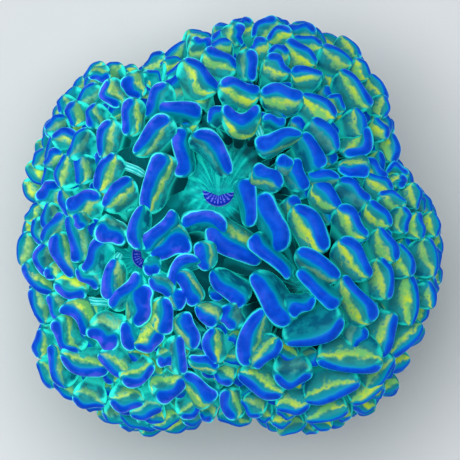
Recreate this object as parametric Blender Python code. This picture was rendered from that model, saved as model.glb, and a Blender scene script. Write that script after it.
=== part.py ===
"""A living hammer coral colony on its stony skeleton, cut off flat at the foot.

Four fleshy polyps share one skeleton: a short trunk that forks into four branches, with one polyp
seated on the cup of each. A polyp is a domed oral disc with a mouth in it, and from it grow stalked
tentacles that flare into hammer-shaped tips. The tips of all four polyps pack into one lobed crown.

Lengths below are in millimetres and are turned to metres as each mesh is made. +Z is up, and the
origin is the middle of the trunk's flat cut. Run with: blender --background --python part.py
"""

import math

import bmesh
import bpy
import numpy as np
from mathutils import Matrix, Vector

MM = 0.001
FIT_GAP = 0.3  # clearance between two pieces that meet

# Heights above the cut
TRUNK_TOP = 9.0
CUP_TOP = 19.0
BODY_HEIGHT = 24.5  # middle of a polyp's body
CROWN_HEIGHT = 26.0  # widest level of the crown of tips

# The crown that the tips of all the polyps fill: rounded lobes that melt together
CROWN_RISE = 13.2
CROWN_DROP = 10.5
LOBE_BLEND = 0.9
SKIRT_SINE = -0.62  # how far below the widest level the lowest tips hang

# The rounded lobes of the crown, seen from above: middle and radius
LOBES = (
    (4.6, 10.6, 17.0),
    (12.0, -3.6, 15.9),
    (8.8, -11.6, 15.6),
    (-9.0, -10.4, 16.8),
    (-12.4, -1.0, 15.0),
    (-14.0, 9.8, 10.9),
)

# The polyps: where the body stands, and its radius
HEADS = {
    "rear": {"body": (0.4, 6.4), "radius": 9.6},
    "front_right": {"body": (9.6, -7.8), "radius": 10.2},
    "front_left": {"body": (-11.4, -6.0), "radius": 9.8},
    "rear_left": {"body": (-12.2, 10.8), "radius": 7.0},
}
BODY_RISE = 6.4
BODY_SIDES = 12
ROOTS = 0.62  # how far out in the body the tentacles start, as a share of its radius
CUP_SHARE = 0.68  # a cup's radius against its polyp's
NECK_SHARE = 0.33

# The mouths that lie open between the tips: middle, half length and width, turn, and clear radius
MOUTHS = {
    "rear": {"place": (-1.8, 3.7), "size": (1.9, 1.0), "turn": -3, "clear": 4.3},
    "front_left": {"place": (-9.4, -4.8), "size": (1.8, 1.1), "turn": -55, "clear": 1.9},
}
LIP_HEIGHT = 0.8

# The large tips round the mouths, set by eye:
# x, y, turn of the hammer in degrees, its length, its width, and how far its ends curl inwards
LARGE_TIPS = (
    (-9.8, 5.2, 72, 7.2, 2.0, 0.5),
    (-6.2, 9.2, 92, 6.0, 2.2, 0.0),
    (-1.6, 9.4, 122, 6.4, 2.1, 1.2),
    (-9.6, 11.6, 46, 5.8, 2.1, 0.4),
    (5.6, 11.0, 14, 5.8, 2.0, -0.3),
    (2.8, 2.6, 83, 5.6, 1.9, 0.3),
    (6.6, 0.6, 107, 7.2, 2.5, 0.5),
    (5.2, 6.2, 145, 4.4, 1.9, 0.2),
    (-3.2, -0.6, 174, 5.8, 1.9, 1.4),
    (-9.2, -0.6, 52, 5.4, 1.8, 0.5),
    (0.6, -3.6, 140, 6.8, 2.4, 0.4),
    (4.9, -4.6, 132, 6.0, 1.8, 0.1),
    (-6.6, -3.8, 22, 5.2, 2.1, 0.8),
    (-3.9, -6.0, 100, 3.7, 1.6, 0.0),
    (-12.8, 0.2, 84, 5.2, 1.8, 0.6),
    (-14.8, 4.6, 50, 4.8, 1.9, 0.2),
    (-16.2, 8.0, 60, 5.0, 1.7, 0.7),
    (-18.8, 2.8, 22, 4.6, 2.2, 0.3),
    (-17.2, -4.4, 58, 4.8, 2.0, 0.2),
    (-20.2, -1.4, 101, 5.2, 1.8, 0.3),
    (-0.6, -8.2, 134, 5.2, 2.1, 1.0),
    (4.2, -9.4, 126, 7.2, 2.6, 0.4),
    (1.6, -14.0, 70, 7.0, 2.4, 1.1),
    (10.2, -8.4, 131, 5.8, 1.9, 0.2),
    (10.8, -14.2, 24, 6.6, 2.0, 1.3),
    (15.9, -9.4, 128, 6.2, 2.1, 0.3),
    (20.0, -13.6, 72, 6.0, 1.9, 0.4),
    (14.8, -18.2, 176, 6.8, 2.0, 0.4),
    (7.2, -19.6, 170, 5.2, 2.2, 0.8),
    (11.0, 0.4, 127, 6.2, 2.2, 0.6),
    (15.8, 0.6, 132, 4.8, 1.9, 0.2),
    (12.2, 4.8, 132, 4.8, 1.9, 0.2),
    (10.6, -3.8, 147, 5.4, 2.0, 0.1),
    (16.2, -3.8, 129, 5.4, 2.0, 0.4),
    (20.4, -2.4, 119, 4.8, 1.8, 0.4),
    (-6.6, 14.6, 170, 5.6, 2.1, -0.4),
    (-2.8, 18.6, 140, 5.2, 2.0, 0.5),
    (1.6, 16.9, 166, 4.8, 1.9, 0.2),
    (6.6, 16.4, 175, 5.0, 2.0, 0.3),
    (1.4, 13.0, 177, 4.8, 2.2, -1.2),
)

# The smaller tips, which fill the rest of the crown
TIP_SPACING = 4.8
SKIRT_THINNING = 0.7
SKIRT_CLEARANCE = 2.4
SEAM_CROWDING = 1.6
SEAM_MARGIN = 0.95  # from a tip's middle to the plane that parts its polyp from the next
TIP_LENGTH = (4.0, 5.2)
TIP_WIDTH = (1.5, 2.0)
TIP_CURL = (-0.2, 0.9)
TIP_UNEVENNESS = (-0.05, 0.015)
HAMMER_SWING = 22  # degrees either side of square to the way the tentacle leans
SEED = 7

# The form of a tentacle: a stalk that flares to a thick shoulder, and the narrow ridge over it
STALK_RADIUS = 0.6
SHOULDER = 0.8  # how far along the stalk the shoulder is
SHOULDER_THICKNESS = 1.05
RIDGE_THICKNESS = 0.72


def crown_reach(directions):
    """How far the crown's surface lies from its middle, along each direction."""
    reach = []
    for x, y, radius in LOBES:
        ray = directions.copy()
        ray[:, 2] *= radius / np.where(directions[:, 2] > 0, CROWN_RISE, CROWN_DROP)
        along = ray[:, :2] @ np.array([x, y])
        length = (ray**2).sum(axis=1)
        outside = x * x + y * y - radius**2
        root = along**2 - length * outside
        reach.append(np.where(root > 0, (along + np.sqrt(np.maximum(root, 0))) / length, 0))
    return LOBE_BLEND * np.log(np.exp(np.array(reach) / LOBE_BLEND).sum(axis=0))


def on_crown(points):
    """The points moved straight out from the crown's middle, or in to it, onto its surface."""
    middle = np.array([0, 0, CROWN_HEIGHT])
    away = (points - middle) / np.linalg.norm(points - middle, axis=1)[:, None]
    return middle + away * crown_reach(away)[:, None]


def crown_over(x, y):
    """The point of the crown's upper surface over a place in plan."""
    low, high = 0.0, 1.5 * CROWN_RISE
    for _ in range(24):
        probe = np.array([[x, y, (low + high) / 2]])
        distance = np.linalg.norm(probe)
        if distance < crown_reach(probe / distance)[0]:
            low = (low + high) / 2
        else:
            high = (low + high) / 2
    return np.array([x, y, low + CROWN_HEIGHT])


def nearest_head(point):
    """The polyp that a place in the crown belongs to. Upright planes part the polyps."""
    return min(HEADS, key=lambda name: math.dist(point[:2], HEADS[name]["body"]) ** 2
               - HEADS[name]["radius"] ** 2)


def seams(name):
    """The upright planes that part a polyp from the others, as (normal, distance along it)."""
    own = HEADS[name]
    for other_name, other in HEADS.items():
        if other_name != name:
            across = np.array(other["body"]) - np.array(own["body"])
            apart = np.linalg.norm(across)
            middle = (np.array(own["body"]) + np.array(other["body"])) / 2
            shift = (own["radius"] ** 2 - other["radius"] ** 2) / (2 * apart)
            yield across / apart, middle @ across / apart + shift


def keep_to_own_side(head, point, gap):
    """Moves a point that is over a seam, or nearer to it than the gap, back to its own side."""
    for normal, distance in seams(head):
        beyond = point[0] * normal[0] + point[1] * normal[1] - distance + gap
        if beyond > 0:
            point[0] -= normal[0] * beyond
            point[1] -= normal[1] * beyond
    return point


def nearest_seam(point):
    """(distance to the nearest seam, direction of that seam in plan) for a place in the crown."""
    near = [(distance - point[:2] @ normal, math.atan2(normal[0], -normal[1]))
            for normal, distance in seams(nearest_head(point))]
    return min(near)


def can_hold_tip(point):
    """Whether a low place is far enough out that a tentacle can hang down to it."""
    head = HEADS[nearest_head(point)]
    off_body = math.dist(point[:2], head["body"]) - head["radius"]
    return point[2] > CROWN_HEIGHT - 1 or off_body > SKIRT_CLEARANCE


def stalk_curve(tip):
    """(base, bend, tip) of the curve that a tentacle follows out of its polyp."""
    head = HEADS[tip["head"]]
    middle = np.array([*head["body"], BODY_HEIGHT])
    out = tip["place"] - middle
    out = out / np.linalg.norm(out)
    out[2] = max(out[2], -0.3)
    radii = np.array([ROOTS * head["radius"], ROOTS * head["radius"], 0.86 * BODY_RISE])
    base = middle + out / np.linalg.norm(out / radii)
    start = out + np.array([0, 0, 0.6])
    start = start / np.linalg.norm(start)
    bend = base + start * 0.45 * np.linalg.norm(tip["place"] - base)
    return base, bend, tip["place"]


def hammer_axes(tip):
    """(along the hammer, towards its inner side, out of the tip), as unit vectors."""
    _, bend, place = stalk_curve(tip)
    out = (place - bend) / np.linalg.norm(place - bend)
    up = np.array([0.0, 0.0, 1.0])
    if tip["turn"] is None:
        along = np.cross(out, up)
        along = along / np.linalg.norm(along)
        along = math.cos(tip["swing"]) * along + math.sin(tip["swing"]) * np.cross(out, along)
    else:
        along = np.array([math.cos(tip["turn"]), math.sin(tip["turn"]), 0.0])
    along = along - out * (along @ out)
    along = along / np.linalg.norm(along)
    inner = np.cross(out, along)
    if inner @ (up * 1.2 - out) < 0:
        along, inner = -along, -inner
    return along, inner, out


def crown_spots(count=9000):
    """Places evenly turned about the crown, leaving out those where no tip could stand."""
    sine = 1 - (np.arange(count) + 0.5) / count * (1 - SKIRT_SINE)
    turn = np.arange(count) * math.pi * (3 - math.sqrt(5))
    flat = np.sqrt(1 - sine**2)
    spots = np.stack([flat * np.cos(turn), flat * np.sin(turn), sine], axis=1)
    spots = on_crown(spots + [0, 0, CROWN_HEIGHT])
    return spots[[can_hold_tip(spot) and nearest_seam(spot)[0] > SEAM_MARGIN for spot in spots]]


def first_tips(draw):
    """Every tip, before neighbours have made room for each other.

    The large tips come first. Then the spot that is farthest from every tip gets one, again and
    again. Tips of different polyps may stand closer than those of one, so that no gap shows
    between the polyps.
    """
    tips = []
    for x, y, turn, length, width, curl in LARGE_TIPS:
        tips.append({"place": crown_over(x, y), "turn": math.radians(turn), "length": length,
                     "width": width, "curl": curl, "give": 0.06})
    spots = crown_spots()
    owner = np.array([nearest_head(spot) for spot in spots])
    ease = np.where(spots[:, 2] < CROWN_HEIGHT - 1, SKIRT_THINNING, 1.0)

    def gap_from(place):
        distance = np.linalg.norm(spots - place, axis=1)
        return distance * ease * np.where(owner == nearest_head(place), 1, SEAM_CROWDING)

    gap = np.min([gap_from(tip["place"]) for tip in tips], axis=0)
    for mouth in MOUTHS.values():
        room = np.linalg.norm(spots - crown_over(*mouth["place"]), axis=1) - mouth["clear"]
        gap = np.minimum(gap, room + TIP_SPACING / 2)
    while gap.max() > TIP_SPACING:
        place = spots[gap.argmax()]
        gap = np.minimum(gap, gap_from(place))
        off_seam, seam_turn = nearest_seam(place)
        turn = seam_turn if off_seam < 2 * SEAM_MARGIN else None
        tips.append({"place": place, "turn": turn, "length": draw.uniform(*TIP_LENGTH),
                     "width": draw.uniform(*TIP_WIDTH), "curl": draw.uniform(*TIP_CURL),
                     "give": 0.3})
    for tip in tips:
        tip["swing"] = math.radians(draw.uniform(-HAMMER_SWING, HAMMER_SWING))
        tip["uneven"] = draw.uniform(*TIP_UNEVENNESS)
        tip["head"] = nearest_head(tip["place"])
    return tips


def make_room(tips, rounds=50):
    """Pushes the tips along the crown until their hammers hardly run into each other.

    Each hammer counts as three balls in a row, and each open mouth as one ball that stays.
    """
    mouths = [crown_over(*mouth["place"]) for mouth in MOUTHS.values()]
    owner = np.concatenate([np.repeat(np.arange(len(tips)), 3), [-1] * len(mouths)])
    room = np.concatenate([np.repeat([0.62 * tip["width"] for tip in tips], 3),
                           [mouth["clear"] for mouth in MOUTHS.values()]])
    give = np.array([tip["give"] for tip in tips])[:, None]
    for _ in range(rounds):
        balls = []
        for tip in tips:
            along = hammer_axes(tip)[0] * (tip["length"] / 2 - 0.6 * tip["width"])
            balls += [tip["place"] - along, tip["place"], tip["place"] + along]
        balls = np.array(balls + mouths)
        apart = balls[:, None, :] - balls[None, :, :]
        distance = np.linalg.norm(apart, axis=2) + 1e-9
        overlap = np.maximum(room[:, None] + room[None, :] - distance, 0)
        overlap[owner[:, None] == owner[None, :]] = 0
        push = (apart / distance[:, :, None] * overlap[:, :, None]).sum(axis=1)
        moves = np.zeros((len(tips), 3))
        np.add.at(moves, owner[owner >= 0], push[owner >= 0])
        for tip, move in zip(tips, moves * give):
            tip["place"] = keep_to_own_side(tip["head"], tip["place"] + move, SEAM_MARGIN)
        places = on_crown(np.array([tip["place"] for tip in tips]))
        for tip, place in zip(tips, places):
            tip["place"] = place


def settled_tips():
    """Every tip of the crown in its final place, some standing a little above others."""
    tips = first_tips(np.random.default_rng(SEED))
    make_room(tips)
    middle = np.array([0, 0, CROWN_HEIGHT])
    for tip in tips:
        tip["place"] = middle + (tip["place"] - middle) * (1 + tip["uneven"])
    return tips


def tentacle_block():
    """The closed block of two storeys that each tentacle is shaped from."""
    shape = bmesh.new()
    bmesh.ops.create_cube(shape, size=2)
    for normal in ((1, 0, 0), (0, 0, 1)):
        everything = shape.verts[:] + shape.edges[:] + shape.faces[:]
        bmesh.ops.bisect_plane(shape, geom=everything, plane_co=(0, 0, 0), plane_no=normal)
    foot = [vert for vert in shape.verts if vert.co.z < -0.5 and abs(vert.co.x) < 0.5]
    bmesh.ops.dissolve_verts(shape, verts=foot)
    bmesh.ops.triangulate(shape, faces=shape.faces[:])
    block = bpy.data.meshes.new("tentacle_block")
    shape.to_mesh(block)
    shape.free()
    return block


def tentacle(block, tip, seam_gap):
    """One tentacle: the block, with its storeys flared and bent along the stalk's curve."""
    shape = bmesh.new()
    shape.from_mesh(block)
    base, bend, end = stalk_curve(tip)
    along, _, _ = hammer_axes(tip)
    half = tip["length"] / 2
    for vert in shape.verts:
        a, b, storey = vert.co
        if storey < -0.5:
            share, long, wide, curl, lean = 0.0, STALK_RADIUS, STALK_RADIUS, 0.0, 0.0
        elif storey < 0.5:
            share, long, wide = SHOULDER, 0.88 * half, SHOULDER_THICKNESS * tip["width"] / 2
            curl, lean = tip["curl"], 0.2 * tip["width"]
        else:
            share, long, wide = 1.0, 0.88 * half, RIDGE_THICKNESS * tip["width"] / 2
            curl, lean = tip["curl"], 0.0
        point = (1 - share) ** 2 * base + 2 * share * (1 - share) * bend + share**2 * end
        run = (1 - share) * (bend - base) + share * (end - bend)
        run = run / np.linalg.norm(run)
        side = along - run * (along @ run)
        side = side / np.linalg.norm(side)
        inwards = b * wide * (1 - 0.45 * a * a) + curl * (a * a - 0.3) + lean
        point = point + side * a * long + np.cross(run, side) * inwards
        vert.co = Vector(keep_to_own_side(tip["head"], point, seam_gap)) * MM
    return shape


def material(name, colour, roughness):
    """A plain finish in the piece's own colour."""
    made = bpy.data.materials.new(name)
    made.use_nodes = True
    shader = made.node_tree.nodes["Principled BSDF"]
    shader.inputs["Base Color"].default_value = (*colour, 1.0)
    shader.inputs["Roughness"].default_value = roughness
    return made


def add_object(name, shape, collection, finish=None):
    """Makes a bmesh an object in a collection."""
    mesh = bpy.data.meshes.new(name)
    shape.to_mesh(mesh)
    shape.free()
    made = bpy.data.objects.new(name, mesh)
    collection.objects.link(made)
    if finish:
        mesh.materials.append(finish)
    return made


def branch_middle(name, height):
    """Where the middle of a branch is at a height: it sets out upright, then leans to its cup."""
    share = max(0.0, (height - TRUNK_TOP * 0.4) / (CUP_TOP - TRUNK_TOP * 0.4))
    return Vector(HEADS[name]["body"]) * (0.42 + 0.5 * share**1.3)


def branch_radius(name, height):
    """A branch widens to its cup, and thickens again inside the trunk."""
    share = max(0.0, (height - TRUNK_TOP) / (CUP_TOP - TRUNK_TOP))
    foot = 2.4 * max(0.0, 1 - height / TRUNK_TOP) ** 2
    return HEADS[name]["radius"] * (NECK_SHARE + (CUP_SHARE - NECK_SHARE) * share**1.1) + foot


def add_column(shape, name, heights, ribs, rib_depth):
    """Adds a closed, ribbed column that follows a branch through the given heights."""
    already = len(shape.verts)
    bmesh.ops.create_cone(shape, cap_ends=True, segments=2 * ribs, radius1=1, radius2=1,
                          depth=len(heights) - 1)
    shape.verts.ensure_lookup_table()
    for ring in range(1, len(heights) - 1):
        fresh = shape.verts[already:]
        around = {edge for vert in fresh for edge in vert.link_edges}
        faces = {face for vert in fresh for face in vert.link_faces}
        bmesh.ops.bisect_plane(shape, geom=fresh + list(around) + list(faces),
                               plane_co=(0, 0, ring - (len(heights) - 1) / 2),
                               plane_no=(0, 0, 1))
        shape.verts.ensure_lookup_table()
    for vert in shape.verts[already:]:
        height = heights[round(vert.co.z + (len(heights) - 1) / 2)]
        turn = math.atan2(vert.co.y, vert.co.x)
        radius = branch_radius(name, height) * (1 + rib_depth * math.cos(ribs * turn))
        middle = branch_middle(name, height)
        vert.co = Vector((middle.x + radius * math.cos(turn), middle.y + radius * math.sin(turn),
                          height)) * MM


def build_trunk(collection, helpers, stone):
    """The trunk: the feet of the four branches grown into one stump, cut flat at both ends."""
    shape = bmesh.new()
    for name in HEADS:
        add_column(shape, name, (-2, 3, 7, TRUNK_TOP + 2), 6, 0.02)
    stump = bmesh.ops.create_icosphere(shape, subdivisions=2, radius=1)["verts"]
    bmesh.ops.scale(shape, vec=Vector((9.8, 8.8, 7.6)) * MM, verts=stump)
    trunk = add_object("trunk", shape, collection, stone)
    slab = bmesh.new()
    bmesh.ops.create_cube(slab, size=1)
    bmesh.ops.scale(slab, vec=Vector((60, 60, TRUNK_TOP)) * MM, verts=slab.verts)
    bmesh.ops.translate(slab, vec=Vector((0, 0, TRUNK_TOP / 2)) * MM, verts=slab.verts)
    flat = trunk.modifiers.new("grown_together_and_cut_flat", "BOOLEAN")
    flat.operation = "INTERSECT"
    flat.solver = "EXACT"
    flat.use_self = True
    flat.object = add_object("trunk_slab", slab, helpers)


def build_branch(name, collection, stone):
    """One branch, ribbed and widening to the cup that its polyp sits on."""
    bottom = TRUNK_TOP + FIT_GAP
    shape = bmesh.new()
    add_column(shape, name, (bottom, bottom + 3, bottom + 7, CUP_TOP), 9, 0.045)
    add_object("branch_" + name, shape, collection, stone)


def lips(name):
    """The lips of an open mouth: a low, long mound on the oral disc."""
    mouth, head = MOUTHS[name], HEADS[name]
    off_middle = math.dist(mouth["place"], head["body"]) / head["radius"]
    height = BODY_HEIGHT + BODY_RISE * math.sqrt(1 - off_middle**2)
    place = Matrix.Translation(Vector((*mouth["place"], height)) * MM)
    turn = Matrix.Rotation(math.radians(mouth["turn"]), 4, "Z")
    size = Matrix.Diagonal((*(Vector((*mouth["size"], LIP_HEIGHT)) * MM), 1))
    shape = bmesh.new()
    bmesh.ops.create_uvsphere(shape, u_segments=8, v_segments=4, radius=1,
                              matrix=place @ turn @ size)
    return shape


def build_polyp(name, tips, block, collection, helpers, flesh_finish, draw):
    """One polyp: a domed body with its mouth and its tentacles, all one piece of flesh."""
    head = HEADS[name]
    body = bmesh.new()
    bmesh.ops.create_uvsphere(body, u_segments=BODY_SIDES, v_segments=8, radius=1)
    for vert in body.verts:
        flat = math.hypot(vert.co.x, vert.co.y)
        girth = max(flat, 1.04 * CUP_SHARE) if vert.co.z < -0.05 else flat
        out = Vector((vert.co.x, vert.co.y)) / max(flat, 0.001) * girth * head["radius"]
        height = max(BODY_HEIGHT + vert.co.z * BODY_RISE, CUP_TOP + FIT_GAP)
        place = [head["body"][0] + out.x, head["body"][1] + out.y, height]
        vert.co = Vector(keep_to_own_side(name, place, 1.5 * FIT_GAP)) * MM
    bmesh.ops.triangulate(body, faces=body.faces[:])
    polyp = add_object("polyp_" + name, body, collection, flesh_finish)
    grows = bpy.data.collections.new("grows_from_" + name)
    helpers.children.link(grows)
    for tip in tips:
        if tip["head"] == name:
            add_object("tentacle", tentacle(block, tip, draw.uniform(0.5, 1.1) * FIT_GAP), grows)
    if name in MOUTHS:
        add_object("lips", lips(name), grows)
    grown = polyp.modifiers.new("grown_together", "BOOLEAN")
    grown.operation = "UNION"
    grown.solver = "MANIFOLD"
    grown.operand_type = "COLLECTION"
    grown.collection = grows


def main():
    for old in list(bpy.data.objects):
        bpy.data.objects.remove(old)
    coral = bpy.data.collections.new("hammer_coral")
    helpers = bpy.data.collections.new("helpers")
    for group in (coral, helpers):
        bpy.context.scene.collection.children.link(group)
    stone = material("coral_stone", (0.62, 0.53, 0.40), 0.9)
    flesh = material("coral_flesh", (0.01, 0.30, 0.42), 0.45)
    build_trunk(coral, helpers, stone)
    block = tentacle_block()
    tips = settled_tips()
    draw = np.random.default_rng(SEED + 1)
    for name in HEADS:
        build_branch(name, coral, stone)
        build_polyp(name, tips, block, coral, helpers, flesh, draw)
    for helper in helpers.all_objects:
        helper.hide_render = True
        helper.display_type = "WIRE"
    print("tentacles:", {name: sum(tip["head"] == name for tip in tips) for name in HEADS})


main()
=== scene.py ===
"""A living hammer coral colony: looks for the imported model, one section for each piece."""

import functools
import math

import bmesh
import bpy
import numpy as np
from mathutils import Matrix, Vector, noise


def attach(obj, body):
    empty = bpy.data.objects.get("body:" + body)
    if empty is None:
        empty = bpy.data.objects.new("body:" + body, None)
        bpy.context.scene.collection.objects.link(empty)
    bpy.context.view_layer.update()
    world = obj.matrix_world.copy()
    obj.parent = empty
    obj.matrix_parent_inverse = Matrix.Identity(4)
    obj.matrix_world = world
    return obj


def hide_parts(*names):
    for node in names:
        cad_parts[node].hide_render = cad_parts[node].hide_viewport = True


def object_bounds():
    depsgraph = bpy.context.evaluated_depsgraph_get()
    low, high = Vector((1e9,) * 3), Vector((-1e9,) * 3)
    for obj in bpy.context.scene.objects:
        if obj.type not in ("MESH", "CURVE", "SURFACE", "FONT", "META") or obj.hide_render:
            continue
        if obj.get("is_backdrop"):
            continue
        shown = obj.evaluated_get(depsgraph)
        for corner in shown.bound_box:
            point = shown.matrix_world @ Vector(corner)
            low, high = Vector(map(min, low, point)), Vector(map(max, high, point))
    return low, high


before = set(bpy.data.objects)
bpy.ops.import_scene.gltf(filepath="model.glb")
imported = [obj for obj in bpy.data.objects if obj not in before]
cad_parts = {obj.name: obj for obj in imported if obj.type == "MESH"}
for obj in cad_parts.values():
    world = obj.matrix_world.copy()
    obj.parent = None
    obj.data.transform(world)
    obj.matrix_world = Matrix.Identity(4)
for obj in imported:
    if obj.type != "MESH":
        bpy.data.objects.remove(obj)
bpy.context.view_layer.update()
MM = 0.001


# ---- The view -----------------------------------------------------------------------------
# The colony stands on a plain pale floor and is seen from straight above. A large soft lamp
# overhead lights the crown and leaves the gaps between the tentacles dark.

crown_level = 24 * MM
camera = bpy.data.objects.new("camera", bpy.data.cameras.new("camera"))
camera.data.sensor_width = 36
camera.data.lens = 862
camera.data.clip_start = 0.1
camera.location = (-0.1 * MM, -0.35 * MM, crown_level + 1400 * MM)
bpy.context.scene.collection.objects.link(camera)
bpy.context.scene.camera = camera
bpy.context.scene.view_settings.view_transform = "Standard"

for name, place, size, watts in (
    ("overhead", (-40, 60, 420), 260, 1.25),
    ("from_left", (-380, -60, 240), 200, 0.3),
    ("from_right", (360, -260, 200), 200, 0.25),
):
    lamp = bpy.data.objects.new(name, bpy.data.lights.new(name, "AREA"))
    lamp.data.size = size * MM
    lamp.data.energy = watts
    lamp.location = Vector(place) * MM
    lamp.rotation_euler = (Vector((0, 0, crown_level)) - lamp.location).to_track_quat(
        "-Z", "Y").to_euler()
    bpy.context.scene.collection.objects.link(lamp)

world = bpy.data.worlds.new("studio")
world.use_nodes = True
world.node_tree.nodes["Background"].inputs["Color"].default_value = (0.92, 0.95, 1.0, 1)
world.node_tree.nodes["Background"].inputs["Strength"].default_value = 0.26
bpy.context.scene.world = world


def linear(hex_colour):
    """An sRGB hex colour as linear red, green, blue and alpha."""
    parts = [int(hex_colour[i:i + 2], 16) / 255 for i in (1, 3, 5)]
    return (*[p / 12.92 if p <= 0.04045 else ((p + 0.055) / 1.055) ** 2.4 for p in parts], 1)


def shape_to_object(name, shape, finish=None):
    """Makes a bmesh a smooth-shaded object in the scene."""
    mesh = bpy.data.meshes.new(name)
    shape.to_mesh(mesh)
    shape.free()
    mesh.shade_smooth()
    made = bpy.data.objects.new(name, mesh)
    bpy.context.scene.collection.objects.link(made)
    if finish:
        mesh.materials.append(finish)
    return made


floor_shape = bmesh.new()
bmesh.ops.create_grid(floor_shape, x_segments=1, y_segments=1, size=900 * MM)
floor_paint = bpy.data.materials.new("floor_paint")
floor_paint.use_nodes = True
floor_paint.node_tree.nodes["Principled BSDF"].inputs["Base Color"].default_value = linear(
    "#E4E6E8")
floor_paint.node_tree.nodes["Principled BSDF"].inputs["Roughness"].default_value = 0.9
floor = shape_to_object("floor", floor_shape, floor_paint)
floor.location.z = -0.2 * MM
floor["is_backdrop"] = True


# ---- Where the tentacles' tips stand ------------------------------------------------------
# The tips of all the polyps fill one crown of rounded lobes. Those that show their caps from
# above are set one by one. Small ones fill what is left, down to the skirt.

# The crown's widest level, how far its lobes dome up and down from there, how softly they run
# together, and each one's x, y and radius
CROWN_HEIGHT = 26.0
CROWN_RISE = 13.2
CROWN_DROP = 10.5
LOBE_BLEND = 0.9
LOBES = (
    (4.6, 10.6, 17.0),
    (12.0, -3.6, 15.9),
    (8.8, -11.6, 15.6),
    (-9.0, -10.4, 16.8),
    (-12.4, -1.0, 15.0),
    (-14.0, 9.8, 10.9),
)
POLYPS = {
    "rear": {"body": (0.4, 6.4), "radius": 9.6},
    "front_right": {"body": (9.6, -7.8), "radius": 10.2},
    "front_left": {"body": (-11.4, -6.0), "radius": 9.8},
    "rear_left": {"body": (-12.2, 10.8), "radius": 7.0},
}
BODY_HEIGHT = 24.5
BODY_RISE = 6.4

# x and y of the tip, the way that its inner side faces in degrees, the hammer's length and
# width, how far its ends curl inwards, how far it leans out from upright in degrees, and how
# strong its yellow-green band is. It belongs to the polyp that is nearest so far inwards from it
INWARDS = 5.0
TIPS_ROUND_THE_MOUTH = (
    (-6.3, 9.5, 0, 6.3, 2.2, 0.0, 0, 0.0),
    (-1.6, 10.0, -140, 7.0, 2.0, 1.0, 14, 0.5),
    (1.3, 13.8, -90, 5.0, 2.5, -1.5, 10, 1.0),
    (6.0, 11.4, -75, 6.1, 2.1, 0.2, 12, 0.5),
    (2.4, 3.1, 185, 6.1, 2.1, 0.2, 4, 0.0),
    (5.6, 0.7, 198, 7.9, 2.8, 0.4, 6, 0.0),
    (5.0, 6.8, -125, 4.4, 2.0, 0.2, 22, 1.0),
    (-3.2, 1.2, -98, 5.9, 2.1, 1.1, 6, 0.5),
    (-9.1, -0.3, -42, 6.3, 1.9, -0.3, 8, 0.0),
    (0.0, -2.8, 54, 8.1, 2.5, 0.6, 12, 1.0),
    (4.9, -3.8, 43, 7.1, 1.8, 0.0, 4, 0.0),
    (-3.9, -3.8, 15, 3.8, 1.8, 0.1, 20, 1.0),
    (-7.6, -2.7, 108, 5.6, 2.9, -0.4, 16, 1.0),
    (-10.2, 5.7, -17, 7.8, 2.1, 0.5, 11, 1.0),
    (-10.3, 11.9, -44, 6.5, 2.1, 0.3, 13, 1.0),
    (-6.8, 15.2, -98, 6.5, 2.0, 0.1, 14, 0.0),
    (6.9, 8.4, -100, 2.4, 1.9, 0.0, 18, 0.5),
    (8.8, 6.7, 200, 4.3, 2.0, -0.3, 20, 0.5),
)
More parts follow.
